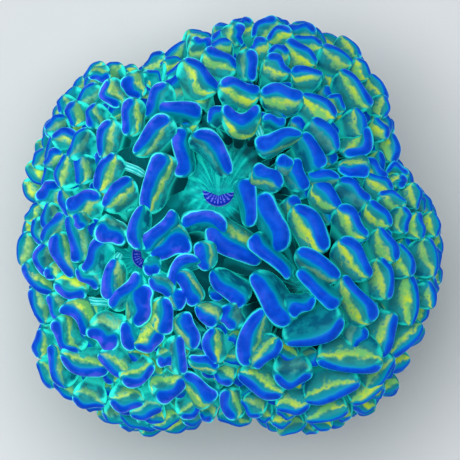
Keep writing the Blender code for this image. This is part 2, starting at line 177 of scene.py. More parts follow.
TIPS_ON_THE_LEFT = (
    (-14.8, 4.8, -41, 5.2, 2.0, 0.2, 34, 1.0),
    (-16.5, 7.3, -26, 5.2, 1.7, 0.6, 38, 1.0),
    (-16.4, 11.3, -14, 5.0, 1.8, 0.4, 32, 0.5),
    (-13.2, 14.0, -8, 4.9, 2.0, 0.1, 26, 1.0),
    (-9.9, 16.4, -30, 5.0, 1.7, 0.3, 26, 0.0),
    (-12.8, 17.4, 38, 3.5, 2.1, 0.2, 28, 0.5),
    (-15.8, 16.5, 24, 3.9, 2.0, 1.1, 32, 0.5),
    (-18.7, 17.1, -38, 3.9, 1.4, 0.2, 50, 0.5),
    (-18.0, 14.2, -10, 3.3, 1.5, 0.4, 42, 0.5),
    (-20.6, 14.3, 2, 3.3, 1.5, 0.5, 48, 0.5),
    (-16.6, 18.9, 95, 2.8, 1.5, 0.0, 24, 0.5),
    (-15.6, 20.5, -62, 3.4, 1.4, 0.4, 56, 0.5),
    (-17.9, 20.3, -45, 3.4, 1.3, 0.0, 62, 0.5),
    (-21.8, 15.7, -10, 2.6, 1.5, 0.0, 54, 0.5),
    (-22.5, 13.7, -60, 3.2, 1.4, 0.2, 52, 0.5),
    (-21.1, 12.2, -85, 3.3, 1.6, 0.5, 42, 0.5),
    (-19.8, 11.0, -34, 4.4, 1.3, 0.2, 52, 0.5),
    (-24.8, 9.2, -40, 2.9, 1.4, 0.1, 62, 0.5),
    (-22.9, 9.2, -50, 3.0, 1.5, 0.2, 46, 0.5),
    (-21.9, 7.3, -14, 4.4, 1.4, 0.6, 52, 0.5),
    (-19.5, 7.3, 0, 3.9, 1.4, -0.3, 44, 0.5),
    (-23.3, 4.8, -55, 3.9, 2.6, 0.0, 26, 0.5),
    (-18.8, 3.8, -70, 4.8, 2.5, 0.2, 28, 0.5),
    (-21.3, 2.9, 20, 3.6, 1.2, 0.3, 30, 0.5),
    (-12.3, 0.1, -5, 5.6, 1.6, 0.8, 24, 0.0),
    (-15.3, -1.1, 62, 4.3, 2.6, 0.1, 14, 0.5),
    (-17.6, -3.3, -29, 5.0, 1.8, 0.0, 26, 0.0),
    (-20.1, -1.5, 12, 6.0, 1.7, -0.3, 30, 0.5),
    (-19.4, 0.7, 30, 2.4, 1.5, 0.0, 28, 0.5),
    (-21.8, -3.9, 25, 6.0, 1.9, 0.5, 30, 0.5),
    (-23.7, 1.5, -5, 3.6, 1.5, 0.1, 46, 0.5),
    (-22.9, 0.3, -38, 4.6, 1.6, 0.0, 42, 0.5),
    (-25.0, -0.7, 15, 3.6, 1.5, 0.4, 52, 0.5),
    (-24.5, -4.0, 0, 4.5, 1.7, 1.2, 36, 0.5),
    (-23.0, -6.0, 40, 2.0, 1.7, 0.0, 26, 0.5),
    (-25.1, -7.1, 45, 5.2, 1.5, 0.7, 44, 0.5),
    (-27.0, -2.6, 0, 4.6, 1.3, 0.3, 70, 0.5),
)
TIPS_AT_THE_FRONT_LEFT = (
    (-6.7, -5.0, -42, 5.2, 1.7, 1.2, 12, 0.0),
    (-5.7, -7.8, 32, 4.9, 1.9, -0.2, 24, 1.0),
    (-6.3, -9.1, 180, 2.8, 1.9, 0.0, 12, 0.5),
    (-20.5, -8.4, 72, 4.4, 2.1, 0.4, 24, 1.0),
    (-18.3, -6.7, 50, 3.8, 1.5, 0.0, 32, 0.5),
    (-15.6, -6.5, -8, 5.4, 1.9, 0.4, 24, 0.5),
    (-13.4, -7.9, -40, 5.7, 1.9, -0.2, 14, 0.0),
    (-11.2, -9.9, 170, 5.8, 3.1, 0.1, 8, 0.5),
    (-9.1, -7.8, 50, 3.6, 1.5, 0.0, 36, 0.5),
    (-10.0, -5.5, 80, 2.3, 1.8, 0.0, 24, 0.5),
    (-7.9, -11.2, 180, 4.8, 2.0, 0.2, 20, 1.0),
    (-4.9, -13.0, 195, 4.9, 2.0, 0.0, 18, 0.5),
    (-3.4, -11.4, 50, 3.6, 1.9, 0.0, 26, 1.0),
    (-6.2, -16.1, 186, 5.0, 1.8, -0.2, 22, 0.5),
    (-3.3, -16.7, -108, 4.0, 1.7, 0.2, 20, 0.5),
    (-13.1, -13.8, 15, 3.9, 2.1, 0.0, 14, 0.0),
    (-10.0, -14.9, 115, 4.2, 2.1, 0.5, 28, 1.0),
    (-16.2, -14.0, 68, 4.7, 3.0, -0.2, 20, 0.5),
    (-19.4, -11.5, 42, 5.0, 1.9, -1.1, 22, 1.0),
    (-22.6, -10.5, 25, 4.0, 1.4, 0.2, 38, 0.5),
    (-21.4, -14.3, 38, 5.4, 2.1, 0.7, 30, 1.0),
    (-25.0, -10.2, 20, 4.8, 1.4, 0.2, 48, 0.5),
    (-24.8, -14.7, -5, 3.8, 1.5, 0.2, 44, 0.5),
    (-22.6, -17.9, 18, 5.8, 1.4, 0.6, 42, 0.5),
    (-24.0, -19.0, 28, 4.0, 1.4, 0.0, 52, 0.5),
    (-18.8, -18.1, 72, 6.5, 2.1, 0.9, 32, 1.0),
    (-15.2, -17.9, 50, 4.8, 1.5, 0.1, 42, 0.5),
    (-11.3, -19.2, 118, 4.7, 2.0, 0.7, 30, 1.0),
    (-7.3, -20.8, 126, 4.7, 2.5, 0.2, 24, 1.0),
    (-3.8, -20.0, -130, 5.3, 2.1, 0.0, 20, 0.5),
    (-4.4, -23.2, 128, 4.2, 1.8, 0.3, 34, 0.5),
    (-18.1, -22.6, 76, 4.4, 1.7, 0.3, 42, 0.5),
    (-13.2, -22.8, 86, 4.5, 2.0, 0.5, 34, 1.0),
    (-10.5, -23.9, 104, 4.2, 1.6, 0.2, 46, 0.5),
    (-21.4, -21.1, 50, 3.6, 1.4, 0.0, 52, 0.5),
    (-8.2, -16.9, 90, 2.4, 1.8, 0.0, 14, 0.5),
    (-0.8, -11.6, 20, 3.4, 2.1, 0.5, 20, 0.5),
    (-2.9, -15.0, 5, 4.6, 1.7, 0.8, 22, 1.0),
    (-1.2, -19.4, 60, 2.8, 1.5, 0.2, 34, 0.5),
    (-0.7, -22.6, 15, 4.2, 2.0, 0.4, 28, 0.5),
    (-3.3, -24.2, 60, 2.1, 1.6, 0.0, 38, 0.5),
    (0.4, -25.0, 88, 4.4, 1.3, 0.1, 60, 0.5),
)
TIPS_AT_THE_FRONT_RIGHT = (
    (-0.8, -8.0, 45, 6.0, 2.1, 0.1, 20, 0.0),
    (4.7, -9.3, 36, 8.0, 2.7, 0.1, 12, 0.0),
    (2.1, -13.7, -18, 7.8, 2.6, 0.8, 18, 0.5),
    (10.8, -7.9, 48, 6.8, 1.9, 0.1, 10, 0.0),
    (11.3, -4.2, -124, 6.4, 2.0, 0.2, 20, 0.5),
    (9.1, -10.1, 122, 3.9, 1.8, 0.0, 16, 0.0),
    (11.0, -14.2, 113, 8.0, 2.2, 1.1, 40, 0.0),
    (5.0, -16.3, 138, 4.9, 1.6, 0.2, 38, 0.5),
    (7.9, -19.7, 94, 5.0, 2.2, 0.9, 38, 0.0),
    (3.4, -20.6, 64, 6.3, 2.1, 0.4, 34, 1.0),
    (14.9, -17.9, 84, 8.3, 2.1, 0.4, 42, 1.0),
    (13.1, -21.5, 109, 7.3, 1.7, 0.3, 46, 1.0),
    (16.5, -8.7, -145, 6.9, 2.0, 0.1, 26, 0.5),
    (20.2, -6.3, 190, 5.4, 1.7, 0.6, 40, 0.5),
    (20.2, -14.2, 158, 6.6, 1.8, 0.4, 42, 0.5),
    (23.5, -9.1, 180, 6.6, 1.6, 0.6, 52, 0.5),
    (22.8, -14.8, 140, 5.8, 1.5, 0.2, 56, 0.5),
    (2.2, -23.3, 50, 3.4, 1.5, 0.3, 44, 0.5),
    (7.9, -23.4, 95, 4.4, 1.6, 0.4, 50, 0.5),
    (12.3, -24.4, 104, 5.6, 1.4, 0.1, 58, 0.5),
    (19.5, -19.0, 134, 5.4, 1.4, 0.2, 58, 0.5),
    (17.6, -21.6, 124, 4.8, 1.3, 0.1, 62, 0.5),
    (25.9, -8.4, 186, 3.7, 1.3, 0.2, 64, 0.5),
)
TIPS_ON_THE_RIGHT = (
    (10.8, 0.5, -146, 7.0, 2.4, 0.7, 26, 1.0),
    (15.8, 1.1, -138, 5.4, 1.8, 0.2, 30, 1.0),
    (19.2, 2.1, -138, 4.3, 1.7, 0.1, 34, 0.5),
    (22.4, 1.0, 184, 3.6, 1.5, 0.2, 42, 0.5),
    (24.3, 0.3, 186, 3.5, 1.4, -0.3, 54, 0.5),
    (26.4, 0.5, 190, 3.4, 1.3, 0.4, 62, 0.5),
    (20.3, -1.8, -152, 4.9, 1.7, 0.2, 38, 0.5),
    (16.4, -3.3, -142, 6.2, 1.9, 0.4, 34, 1.0),
    (22.7, -3.8, -158, 4.5, 1.5, 0.5, 46, 0.5),
    (26.0, -3.7, 186, 5.2, 1.4, 0.4, 58, 0.5),
    (10.7, 9.9, -152, 5.2, 2.1, 0.1, 24, 0.0),
    (12.6, 12.3, -140, 5.2, 1.8, 0.6, 40, 0.0),
    (16.8, 10.1, 140, 4.9, 2.3, 1.4, 22, 1.0),
    (16.9, 13.6, -158, 3.8, 1.4, 0.1, 54, 0.5),
    (19.5, 12.8, -150, 3.2, 1.4, 0.2, 48, 0.5),
    (21.2, 10.1, 182, 3.9, 1.6, 0.4, 46, 0.5),
    (18.4, 7.7, -124, 4.0, 1.7, 0.1, 30, 0.5),
    (21.1, 7.7, -92, 3.0, 1.3, 0.9, 28, 0.5),
    (15.5, 7.0, 84, 4.1, 1.8, 0.1, 16, 0.5),
    (11.8, 6.8, -98, 4.1, 1.6, 0.1, 20, 0.5),
    (12.7, 4.4, -140, 4.8, 1.9, 0.1, 30, 1.0),
    (15.9, 5.1, -126, 4.9, 1.8, 0.1, 34, 0.0),
    (19.1, 6.2, -122, 4.0, 1.4, 0.2, 46, 0.5),
    (21.8, 5.8, 170, 2.0, 1.7, 0.0, 32, 0.5),
    (20.6, 4.3, -106, 3.8, 1.5, 0.4, 46, 0.5),
    (24.0, 4.0, 186, 3.5, 1.4, 0.3, 56, 0.5),
)
TIPS_AT_THE_REAR = (
    (-10.2, 21.6, -45, 3.4, 1.6, 0.0, 60, 0.5),
    (-7.7, 22.5, -48, 4.7, 1.4, 0.2, 60, 0.5),
    (-6.5, 20.6, -60, 4.5, 1.4, 0.1, 50, 0.5),
    (-7.0, 18.9, -72, 3.6, 1.6, 0.1, 46, 0.5),
    (-3.4, 19.7, -132, 5.9, 2.1, 0.0, 34, 1.0),
    (-3.4, 23.6, -118, 3.0, 2.0, 0.0, 36, 0.5),
    (-0.9, 24.9, -70, 3.8, 1.5, 0.1, 56, 0.5),
    (1.1, 24.4, 190, 3.1, 1.9, -0.4, 28, 0.5),
    (1.6, 26.2, -70, 2.3, 1.7, 0.0, 46, 0.5),
    (3.8, 25.8, -50, 4.1, 1.8, 0.6, 38, 0.5),
    (9.0, 25.5, -96, 3.9, 1.8, 0.1, 42, 0.5),
    (5.8, 25.0, -66, 3.5, 1.6, 0.8, 40, 0.5),
    (3.1, 23.3, -55, 3.0, 1.5, 0.1, 44, 0.5),
    (6.0, 22.7, -84, 2.9, 1.6, 0.4, 34, 0.5),
    (-0.9, 21.7, -122, 4.9, 1.9, 0.1, 36, 1.0),
    (-1.3, 23.7, -70, 2.9, 1.3, 0.0, 56, 0.5),
    (2.7, 20.5, 183, 4.2, 1.9, 0.0, 18, 0.0),
    (6.3, 20.8, -128, 3.9, 1.8, 0.0, 30, 0.5),
    (9.3, 22.6, -128, 4.9, 1.7, 0.1, 40, 1.0),
    (9.9, 24.0, -104, 3.9, 1.4, 0.1, 52, 0.5),
    (13.8, 22.3, -120, 4.6, 1.5, 0.1, 50, 0.5),
    (15.5, 23.4, -125, 4.2, 1.3, 0.1, 68, 0.5),
    (17.2, 20.5, -150, 3.2, 1.4, 0.1, 58, 0.5),
    (9.7, 20.0, -96, 4.1, 1.6, 0.0, 46, 0.5),
    (1.2, 18.0, -102, 5.3, 2.0, 0.1, 26, 1.0),
    (6.6, 17.3, -97, 5.6, 2.2, 0.3, 26, 1.0),
    (11.6, 16.1, -122, 5.2, 1.6, 0.6, 46, 0.5),
    (16.3, 18.0, -140, 6.1, 1.7, 0.1, 44, 1.0),
    (19.2, 18.1, -145, 4.0, 1.4, 0.1, 56, 0.5),
    (20.0, 15.3, 180, 3.0, 1.4, 0.3, 56, 0.5),
)
# x, y and how far round it no small tips stand: over the mouths' discs and two deep hollows
OPEN_PLACES = ((-1.6, 3.7, 3.6), (-11.4, -4.8, 0.0), (1.8, 8.2, 2.0), (-6.4, 2.8, 2.2))
# x and y of gaps in the crown that young ones fill, and x, y and z of others on the side where
# two polyps' tentacles part
BARE_PLACES = ((-2.0, -12.9), (-3.9, -15.0), (-10.9, 19.2), (19.2, 8.2), (0.6, -14.6),
               (-2.3, -18.7), (-2.7, -21.4))
SIDE_PLACES = ((-11.6, 20.0, 22.0), (-8.8, 19.0, 24.0), (-13.9, 19.9, 20.2), (-8.4, 18.0, 20.8),
               (-10.9, 19.2, 18.8), (-6.4, 18.6, 22.4), (-14.4, 20.1, 23.6))

# Small tips: how many places there are to choose from and how far down the crown these go, where
# the skirt begins, how far it keeps off the bodies and how thin it is, and the room between tips
# and how deep they are let in above the skirt
SPOTS = 14000
LOWEST_SINE = -0.62
SKIRT_LEVEL = CROWN_HEIGHT - 1
SKIRT_GAP = 0.7
SKIRT_THINNING = 0.75
FILL_SPACING = 2.6
FILL_DROP = 1.0
# Young ones: the lowest level of the crown over them, how far they keep from the bodies, against
# the bodies' own radii, and the room between them and how deep they stand
YOUNG_LEVEL = CROWN_HEIGHT - 3
BODY_CLEARANCE = 1.1
YOUNG_SPACING = 2.5
YOUNG_DROP = 3.2
BARE_DEPTH = 2.2


def crown_reach(directions):
    """How far the crown's surface lies from its middle, along each direction."""
    reach = []
    for x, y, radius in LOBES:
        ray = directions.copy()
        ray[:, 2] *= radius / np.where(directions[:, 2] > 0, CROWN_RISE, CROWN_DROP)
        along = ray[:, :2] @ np.array([x, y])
        length = (ray**2).sum(axis=1)
        root = along**2 - length * (x * x + y * y - radius**2)
        reach.append(np.where(root > 0, (along + np.sqrt(np.maximum(root, 0))) / length, 0))
    return LOBE_BLEND * np.log(np.exp(np.array(reach) / LOBE_BLEND).sum(axis=0))


def crown_over(x, y):
    """The point of the crown's upper surface over a place in plan."""
    low, high = 0.0, 1.5 * CROWN_RISE
    for _ in range(24):
        probe = np.array([[x, y, (low + high) / 2]])
        distance = np.linalg.norm(probe)
        if distance < crown_reach(probe / distance)[0]:
            low = (low + high) / 2
        else:
            high = (low + high) / 2
    return np.array([x, y, low + CROWN_HEIGHT])


def nearest_polyp(x, y):
    """The polyp that a place in plan belongs to: the nearest, against the polyps' own sizes."""
    return min(POLYPS, key=lambda name: math.dist((x, y), POLYPS[name]["body"]) ** 2
               - POLYPS[name]["radius"] ** 2)


def off_body(spot):
    """How far a place is outside the body of its polyp, in plan."""
    polyp = POLYPS[nearest_polyp(*spot[:2])]
    return math.dist(spot[:2], polyp["body"]) - polyp["radius"]


def steepness(place):
    """How far the crown's surface has turned from level at a place on it."""
    return math.acos(max(-1, min(1, (place[2] - CROWN_HEIGHT) / CROWN_RISE)))


def hammer_axes(tip):
    """(along the hammer, towards its inner side, out of the tip), as unit vectors."""
    face = np.array([math.cos(tip["faces"]), math.sin(tip["faces"]), 0.0])
    up = np.array([0.0, 0.0, 1.0])
    out = math.cos(tip["lean"]) * up - math.sin(tip["lean"]) * face
    inner = math.cos(tip["lean"]) * face + math.sin(tip["lean"]) * up
    inner = math.cos(tip["twist"]) * inner + math.sin(tip["twist"]) * np.cross(inner, out)
    return np.cross(inner, out), inner, out


def side_twist(lean):
    """Tips that stand out sideways are also turned a little about their own stalks."""
    return draw.uniform(-0.6, 0.6) * min(1, max(0, lean - 0.85) / 0.35)


def stalk_curve(tip):
    """(base, bend, tip) of the curve that a tentacle follows out of its polyp.

    It starts under the body's skin, on the side where it aims and never far down it, and bends a
    little under halfway back from its tip.
    """
    polyp = POLYPS[tip["polyp"]]
    out = hammer_axes(tip)[2]
    middle = np.array([*polyp["body"], BODY_HEIGHT])
    aim = tip["place"] - 6 * out - middle
    aim[2] = max(aim[2], -0.3 * np.linalg.norm(aim))
    under_skin = np.array([0.66 * polyp["radius"], 0.66 * polyp["radius"], 0.86 * BODY_RISE])
    base = middle + aim / np.linalg.norm(aim / under_skin)
    bend = tip["place"] - out * 0.55 * np.linalg.norm(tip["place"] - base)
    return base, bend, tip["place"]


draw, shaping = np.random.default_rng(11), np.random.default_rng(4)
tips = []
for group in (TIPS_ROUND_THE_MOUTH, TIPS_ON_THE_LEFT, TIPS_AT_THE_FRONT_LEFT,
              TIPS_AT_THE_FRONT_RIGHT, TIPS_ON_THE_RIGHT, TIPS_AT_THE_REAR):
    for x, y, faces, length, width, curl, lean, gold in group:
        face = Vector((math.cos(math.radians(faces)), math.sin(math.radians(faces))))
        lean = math.radians(lean)
        tips.append({"place": crown_over(x, y), "faces": math.radians(faces), "length": length,
                     "width": width, "curl": curl, "lean": lean, "twist": side_twist(lean),
                     "gold": gold,
                     "polyp": nearest_polyp(x + INWARDS * face.x, y + INWARDS * face.y)})

# Small tips go where the crown is barest, again and again, until it is full. The places to choose
# from are spread evenly over it by the golden angle
steps = np.arange(SPOTS)
sine = 1 - (steps + 0.5) / SPOTS * (1 - LOWEST_SINE)
turn = steps * math.pi * (3 - math.sqrt(5))
flat = np.sqrt(1 - sine**2)
rays = np.stack([flat * np.cos(turn), flat * np.sin(turn), sine], axis=1)
spots = rays * crown_reach(rays)[:, None] + [0, 0, CROWN_HEIGHT]
spots = np.array([spot for spot in spots if spot[2] > SKIRT_LEVEL or off_body(spot) > SKIRT_GAP])
ease = np.where(spots[:, 2] < SKIRT_LEVEL, SKIRT_THINNING, 1.0)
gap = np.full(len(spots), np.inf)
# A tip that is set already takes up a row of five balls along its hammer
for tip in tips:
    along, inner, _ = hammer_axes(tip)
    for share in (-1, -0.5, 0, 0.5, 1):
        ball = tip["place"] + along * share * (tip["length"] / 2 - 0.5 * tip["width"])
        ball = ball + inner * 0.3 * tip["width"]
        room = np.linalg.norm(spots - ball, axis=1) * ease - 0.3 * tip["width"] + 0.4
        gap = np.minimum(gap, room)
for x, y, clear in OPEN_PLACES:
    gap = np.minimum(gap, np.linalg.norm(spots - crown_over(x, y), axis=1) - clear)
while gap.max() > FILL_SPACING:
    place = spots[gap.argmax()]
    gap = np.minimum(gap, np.linalg.norm(spots - place, axis=1) * ease)
    polyp = nearest_polyp(*place[:2])
    home = Vector(POLYPS[polyp]["body"]) - Vector(place[:2])
    lean = 0.15 + 0.75 * steepness(place)
    tip = {"place": place, "polyp": polyp, "length": draw.uniform(2.6, 4.0),
           "width": draw.uniform(1.2, 1.6), "curl": draw.uniform(-0.2, 0.8),
           "faces": math.atan2(home.y, home.x) + math.radians(draw.uniform(-26, 26)),
           "lean": lean, "twist": side_twist(lean)}
    if place[2] > SKIRT_LEVEL:
        tip["place"] = place - FILL_DROP * hammer_axes(tip)[2]
    tips.append(tip)

# Between the bodies and round them, short young ones stand low under the others
middle = np.array([0, 0, CROWN_HEIGHT])
hollows = np.array([
    middle + (spot - middle) * (1 - YOUNG_DROP / np.linalg.norm(spot - middle))
    for spot in spots if spot[2] > YOUNG_LEVEL
    and min(math.dist(spot[:2], polyp["body"]) - BODY_CLEARANCE * polyp["radius"]
            for polyp in POLYPS.values()) > 0])
wanted = [crown_over(x, y) - [0, 0, BARE_DEPTH] for x, y in BARE_PLACES]
wanted += [np.array(place) for place in SIDE_PLACES]
gap = np.full(len(hollows), np.inf)
while wanted or gap.max() > YOUNG_SPACING:
    place = wanted.pop() if wanted else hollows[gap.argmax()]
    gap = np.minimum(gap, np.linalg.norm(hollows - place, axis=1))
    tips.append({"place": place, "polyp": nearest_polyp(*place[:2]), "curl": 0.0,
                 "length": draw.uniform(2.4, 3.4), "width": draw.uniform(1.3, 1.7),
                 "faces": math.atan2(-place[1], -place[0]) + draw.uniform(-0.6, 0.6),
                 "lean": 0.6 * steepness(place), "twist": 0.0, "young": True})


# ---- Flesh of the tentacles ---------------------------------------------------------------
# Living tissue, soft, wet and full of water. Its pigments are deep blue on the cap of each hammer,
# a ragged yellow-green band below it on its inner side, and turquoise stalks, and they are given
# out again as a painted glow. A bright line on the cap's outer side is a painted highlight.

def add_node(tree, kind, *values, **settings):
    """Adds a node and gives its output, or all of them where it has several.

    A kind in capitals is a Math node's operation, "fade" is a smooth step from 0 at one value to
    1 at another, and "blend" mixes two colours. The values go to the inputs in use, in order.
    """
    if kind.isupper():
        kind, settings = "Math", {"operation": kind}
    elif kind == "fade":
        kind, settings = "MapRange", {"interpolation_type": "SMOOTHSTEP"}
    elif kind == "blend":
        kind, settings = "Mix", {"data_type": "RGBA"}
    added = tree.nodes.new("ShaderNode" + kind)
    for setting, value in settings.items():
        setattr(added, setting, value)
    for socket, value in zip([socket for socket in added.inputs if socket.enabled], values):
        if isinstance(value, bpy.types.NodeSocket):
            tree.links.new(value, socket)
        else:
            socket.default_value = value
    outputs = [socket for socket in added.outputs if socket.enabled]
    return outputs[0] if len(outputs) == 1 else added.outputs


def mottle(add, grain, detail=2):
    """A noise about zero, whose grain is in millimetres."""
    place = add("TexCoord")["Object"]
    return add("SUBTRACT", add("TexNoise", place, 1 / (grain * MM), detail, 0.6)["Fac"], 0.5)


def carried(add, name):
    """The three values of an attribute that the mesh carries."""
    return add("SeparateXYZ", add("Attribute", attribute_name=name)["Vector"])


def chance(add, own, times):
    """Another random share for each tip, worked out of its own one."""
    return add("FRACT", add("MULTIPLY", own, times))


def in_the_colony(add):
    """Two shares from 0 to 1: from the right to the left, and from the middle to the rim."""
    x, y, _ = add("SeparateXYZ", add("TexCoord")["Object"])
    away = add("SQRT", add("MULTIPLY_ADD", x, x, add("MULTIPLY", y, y)))
    return add("fade", x, 12 * MM, -14 * MM), add("fade", away, 7 * MM, 22 * MM)


def make_flesh(name, colour, painted_glow):
    """Wet, soft skin over a colour that is part pigment and part a painted glow: the same colour is
    given out by emission, so it stays bright even where the lamps leave it in shade.

    The water in it keeps its reflections weak, and a film of slime gives it a bright sheen at
    grazing angles.
    """
    made = bpy.data.materials.new(name)
    made.use_nodes = True
    tree = made.node_tree
    shader = tree.nodes["Principled BSDF"]
    painted = colour(functools.partial(add_node, tree))
    tree.links.new(painted, shader.inputs["Base Color"])
    # the colour is also given out as a painted glow, by emission, which brightens it whatever the
    # light
    tree.links.new(painted, shader.inputs["Emission Color"])
    shader.inputs["Emission Strength"].default_value = painted_glow
    shader.inputs["Roughness"].default_value = 0.5
    shader.inputs["IOR"].default_value = 1.36
    shader.inputs["Specular IOR Level"].default_value = 0.12
    shader.inputs["Sheen Weight"].default_value = 1.0
    shader.inputs["Sheen Roughness"].default_value = 0.22
    shader.inputs["Sheen Tint"].default_value = linear("#10F8E4")
    return made


# How far the cap's edge is from the middle of its top, against the hammer's width
CAP_SHARE = 0.44


def tentacle_colour(add):
    """The pigments of a tentacle, by distance over its skin from the cap's edge, with painted
    highlights and painted shade.
    """
    along, inward, below = carried(add, "skin")
    half, width, own = carried(add, "build")
    ends = add("Attribute", attribute_name="ends")["Fac"]
    # the pigment lies in grains of about half a millimetre and in patches as wide as a cap
    fine, broad = mottle(add, 0.45, 3), mottle(add, 1.7)
    left, rim = in_the_colony(add)
    across = add("DIVIDE", inward, width)

    # how far the skin is from the edge of the cap, whose ends are round: below 0 on the cap
    straight = add("MULTIPLY_ADD", width, -CAP_SHARE, add("MULTIPLY", half, 1.06))
    past = add("MAXIMUM", add("SUBTRACT", add("ABSOLUTE", along), straight), 0.0)
    out = add("SQRT", add("MULTIPLY_ADD", past, past, add("MULTIPLY", inward, inward)))
    edge = add("MULTIPLY_ADD", width, -CAP_SHARE, out)

    # towards the rim, the blue keeps more and more to the cap's outer side, and fades inwards
    inwardly = add("fade", across, -0.1, 0.5)
    retreat = add("MULTIPLY", add("MULTIPLY_ADD", chance(add, own, 5.0), 0.4, 0.1), rim)
    retreat = add("MULTIPLY", add("MULTIPLY", retreat, width), inwardly)
    cap_edge = add("ADD", add("MULTIPLY_ADD", broad, 0.6, edge), retreat)

    # the belly: turquoise, with a painted highlight along its lower edge and at its ends, where its
    # rim would shine
    body = add("blend", left, linear("#0A7C8A"), linear("#0EB0B0"))
    body = add("blend", add("fade", broad, 0.16, -0.14), body, linear("#04526E"))
    fan = add("DIVIDE", below, add("MULTIPLY_ADD", half, 0.95, 0.9))
    lower_edge = add("MULTIPLY", add("fade", fan, 0.8, 1.1), add("fade", fan, 1.5, 1.15))
    ends = add("MULTIPLY_ADD", left, 0.12, add("MULTIPLY_ADD", broad, 0.6, ends))
    # a painted highlight along the belly's lower edge and at its ends
    rim_highlight = add("MAXIMUM", add("MULTIPLY", lower_edge, 0.75), add("fade", ends, 0.7, 1.0))

    # the stalk: painted shade below the belly, and darker painted shadow deep down between the
    # others
    stalk_painted_shade = add("blend", left, linear("#034450"), linear("#067480"))
    body = add("blend", add("fade", fan, 1.2, 1.7), body, stalk_painted_shade)
    rim_highlight_colour = add("blend", left, linear("#1CC4B4"), linear("#34F4E0"))
    body = add("blend", rim_highlight, body, rim_highlight_colour)
    # painted shadow deep down between the tentacles
    deep_painted_shadow = add("blend", left, linear("#011C26"), linear("#02424C"))
    body = add("blend", add("fade", below, 3.8, 6.6), body, deep_painted_shadow)

    # the band: ragged, slanting, on the inner side below the cap, and narrow at the cap's ends
    tipped = add("DIVIDE", along, add("MULTIPLY", half, 1.25))
    squeeze = add("MULTIPLY_ADD", add("MULTIPLY", tipped, tipped), -1.0, 1.1)
    down = add("DIVIDE", edge, add("MULTIPLY", width, add("MAXIMUM", squeeze, 0.25)))
    down = add("SUBTRACT", down, add("MULTIPLY", chance(add, own, 7.0), 0.4))
    slant = add("MULTIPLY_ADD", chance(add, own, 13.0), 1.5, -0.75)
    down = add("MULTIPLY_ADD", tipped, slant, add("MULTIPLY_ADD", broad, 0.8, down))
    ragged = add("MULTIPLY_ADD", fine, 0.9, add("MULTIPLY_ADD", broad, 1.1, down))
    ragged = add("MULTIPLY_ADD", chance(add, own, 17.0), -0.5, ragged)
    right_rim = add("MULTIPLY_ADD", left, -0.6, rim)
    ragged = add("MULTIPLY_ADD", right_rim, -0.1, ragged)
    band = add("MULTIPLY", add("fade", down, -0.06, 0.24), add("fade", ragged, 0.6, 0.1))
    strength = add("fade", add("MULTIPLY_ADD", right_rim, 0.35, own), 0.28, 0.95)
    strength = add("MULTIPLY", add("fade", across, 0.1, 0.7), strength)

    # its colours: a green wash round it, the cap's teal shade, and green to yellow flecks
    wash = add("MULTIPLY", add("MULTIPLY", strength, 0.4), add("fade", ragged, 2.0, 0.3))
    body = add("blend", wash, body, linear("#34967C"))
    body = add("blend", add("fade", cap_edge, 1.2, 0.5), body, linear("#007E90"))
    flecks = add("fade", add("MULTIPLY_ADD", fine, 0.4, broad), -0.12, 0.16)
    yellow = add("blend", left, linear("#B0C834"), linear("#CCE450"))
    yellow = add("blend", flecks, linear("#68B068"), yellow)
    body = add("blend", add("MULTIPLY", band, strength), body, yellow)

    # round the cap: paler blue on its inner side, and on its outer side a painted glow and a thin
    # painted highlight line, where the skin's rim would shine
    inside = add("fade", across, -0.1, 0.2)
    outside = add("SUBTRACT", 1.0, inside)
    outer = add("MULTIPLY_ADD", broad, 1.2, add("MULTIPLY", across, -1.0))
    # a violet painted highlight on the outer side of the caps on the left
    violet_highlight = add("MULTIPLY", add("fade", outer, 0.0, 0.5), left)
    body = add("blend", add("fade", cap_edge, 0.7, 0.1), body, linear("#0084AC"))
    body = add("blend", add("fade", cap_edge, 0.25, -0.05), body, linear("#0064BE"))
    # a painted glow and a painted highlight line along the cap's outer side
    painted_glow = add("blend", left, linear("#20D0D4"), linear("#48FFF8"))
    painted_glow_share = add("MULTIPLY", outside, add("fade", cap_edge, 0.85, 0.12))
    body = add("blend", painted_glow_share, body, painted_glow)
    highlight_line = add("blend", left, linear("#2CA2E2"), linear("#44C2F0"))
    highlight_line = add("blend", violet_highlight, highlight_line, linear("#8C94F6"))
    highlight_line_share = add("MULTIPLY", outside, add("fade", cap_edge, 0.14, 0.0))
    body = add("blend", highlight_line_share, body, highlight_line)

    # the cap: deep blue, with a violet painted highlight on the outer side of those on the left,
    # and a painted highlight that pales it towards its edge, strongest on its outer side
    cap = add("blend", add("fade", broad, -0.15, 0.15), linear("#003CB4"), linear("#004AC4"))
    cap = add("blend", add("MULTIPLY", violet_highlight, 0.85), cap, linear("#5A52E6"))
    # a painted highlight that pales the cap towards its edge, strongest on the outer side
    edge_highlight = add("blend", inside, linear("#1470E2"), linear("#0058C0"))
    cap = add("blend", add("fade", cap_edge, -0.5, 0.0), cap, edge_highlight)
    clear, soft = add("fade", cap_edge, 0.05, -0.05), add("fade", cap_edge, 0.3, -0.25)
    soft = add("MULTIPLY", add("SUBTRACT", soft, clear), add("MULTIPLY", inwardly, rim))
    return add("blend", add("ADD", clear, soft), body, cap)


# the tentacles' colour is also given out as a painted glow, at strength 0.3
tentacle_flesh = make_flesh("tentacle_flesh", tentacle_colour, 0.3)


# ---- Tentacles ----------------------------------------------------------------------------
# Each is a thin stalk that opens like a fan into a fleshy belly, and carries a smooth cap like a
# hammer's head along its top. Caps are kidney-shaped, straight or wavy, and all of soft tissue.

STOREYS = 5
ROOT_RADIUS = 0.55
MOST_IN_A_PIECE = 60
# Tips below this level, and the young ones, are rounded more coarsely, as the others hide them
FINE_LEVEL = CROWN_HEIGHT + 1

